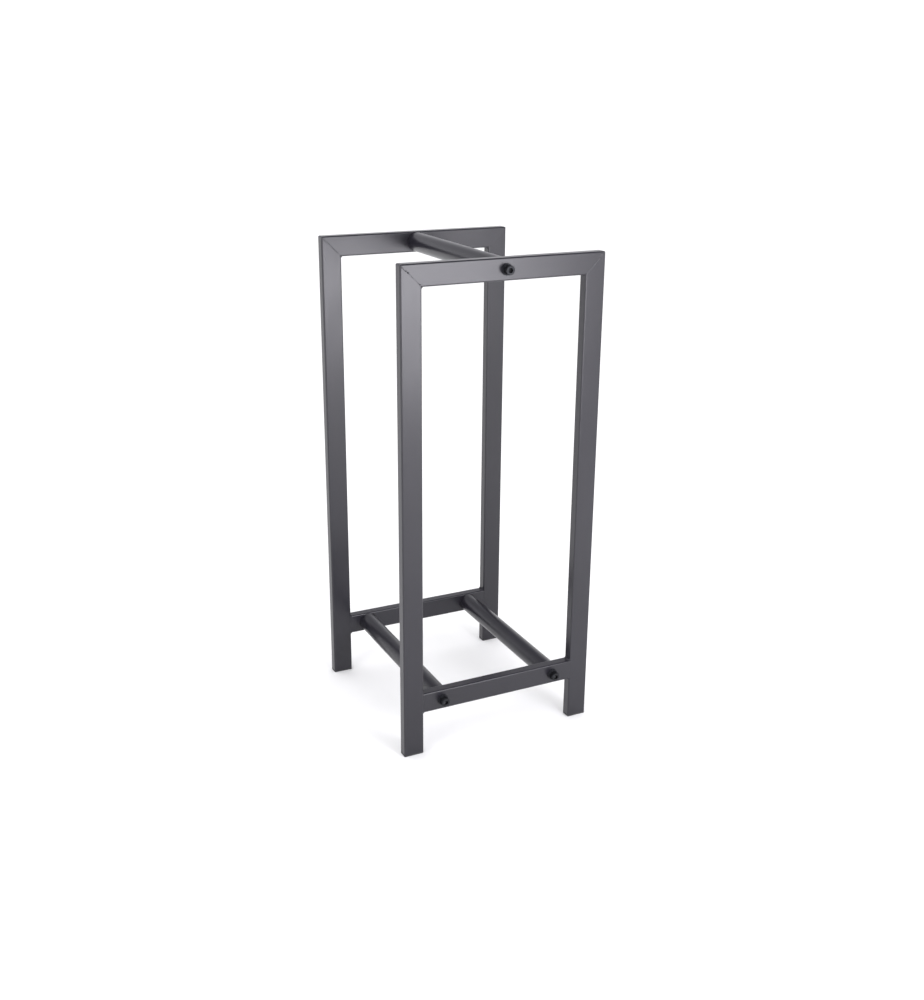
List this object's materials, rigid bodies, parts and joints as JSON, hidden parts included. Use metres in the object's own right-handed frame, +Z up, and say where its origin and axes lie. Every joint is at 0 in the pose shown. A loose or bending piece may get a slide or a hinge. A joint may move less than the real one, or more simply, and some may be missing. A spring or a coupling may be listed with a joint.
{
  "type": "firewood log rack",
  "caption": "Upright open firewood rack: rectangular frames of flat steel tube, front and rear, joined by round cross tubes on cap screws; logs lie on the lower tubes.",
  "frame": {"origin": "centre of the footprint, on the floor that the four feet stand on", "axes": "+Z up; -Y towards the front, where one frame faces the user; +X to the right as seen from the front"},
  "size_m": [0.3, 0.3232, 0.7],
  "materials": {
    "powder_coat": "satin anthracite powder coat on steel tube",
    "tube_coat": "satin anthracite powder coat on round tube",
    "coated_weld": "ground weld under satin powder coat",
    "black_oxide": "black oxide steel, lightly oiled",
    "zinc_steel": "bright zinc plate",
    "end_cap_plastic": "moulded black plastic"
  },
  "bodies": {
    "root": {"front_left_foot_end_cap": "end_cap_plastic", "front_left_leg": "powder_coat", "front_left_lower_weld": "coated_weld", "front_left_upper_weld": "coated_weld", "front_lower_left_cap_screw": "black_oxide", "front_lower_left_flat_washer": "black_oxide", "front_lower_left_spring_washer": "black_oxide", "front_lower_left_threaded_plug": "zinc_steel", "front_lower_rail": "powder_coat", "front_lower_right_cap_screw": "black_oxide", "front_lower_right_flat_washer": "black_oxide", "front_lower_right_spring_washer": "black_oxide", "front_lower_right_threaded_plug": "zinc_steel", "front_right_foot_end_cap": "end_cap_plastic", "front_right_leg": "powder_coat", "front_right_lower_weld": "coated_weld", "front_right_upper_weld": "coated_weld", "front_top_cap_screw": "black_oxide", "front_top_flat_washer": "black_oxide", "front_top_rail": "powder_coat", "front_top_spring_washer": "black_oxide", "front_top_threaded_plug": "zinc_steel", "lower_left_cross_tube": "tube_coat", "lower_right_cross_tube": "tube_coat", "rear_left_foot_end_cap": "end_cap_plastic", "rear_left_leg": "powder_coat", "rear_left_lower_weld": "coated_weld", "rear_left_upper_weld": "coated_weld", "rear_lower_left_cap_screw": "black_oxide", "rear_lower_left_flat_washer": "black_oxide", "rear_lower_left_spring_washer": "black_oxide", "rear_lower_left_threaded_plug": "zinc_steel", "rear_lower_rail": "powder_coat", "rear_lower_right_cap_screw": "black_oxide", "rear_lower_right_flat_washer": "black_oxide", "rear_lower_right_spring_washer": "black_oxide", "rear_lower_right_threaded_plug": "zinc_steel", "rear_right_foot_end_cap": "end_cap_plastic", "rear_right_leg": "powder_coat", "rear_right_lower_weld": "coated_weld", "rear_right_upper_weld": "coated_weld", "rear_top_cap_screw": "black_oxide", "rear_top_flat_washer": "black_oxide", "rear_top_rail": "powder_coat", "rear_top_spring_washer": "black_oxide", "rear_top_threaded_plug": "zinc_steel", "top_cross_tube": "tube_coat"}
  },
  "joints": []
}
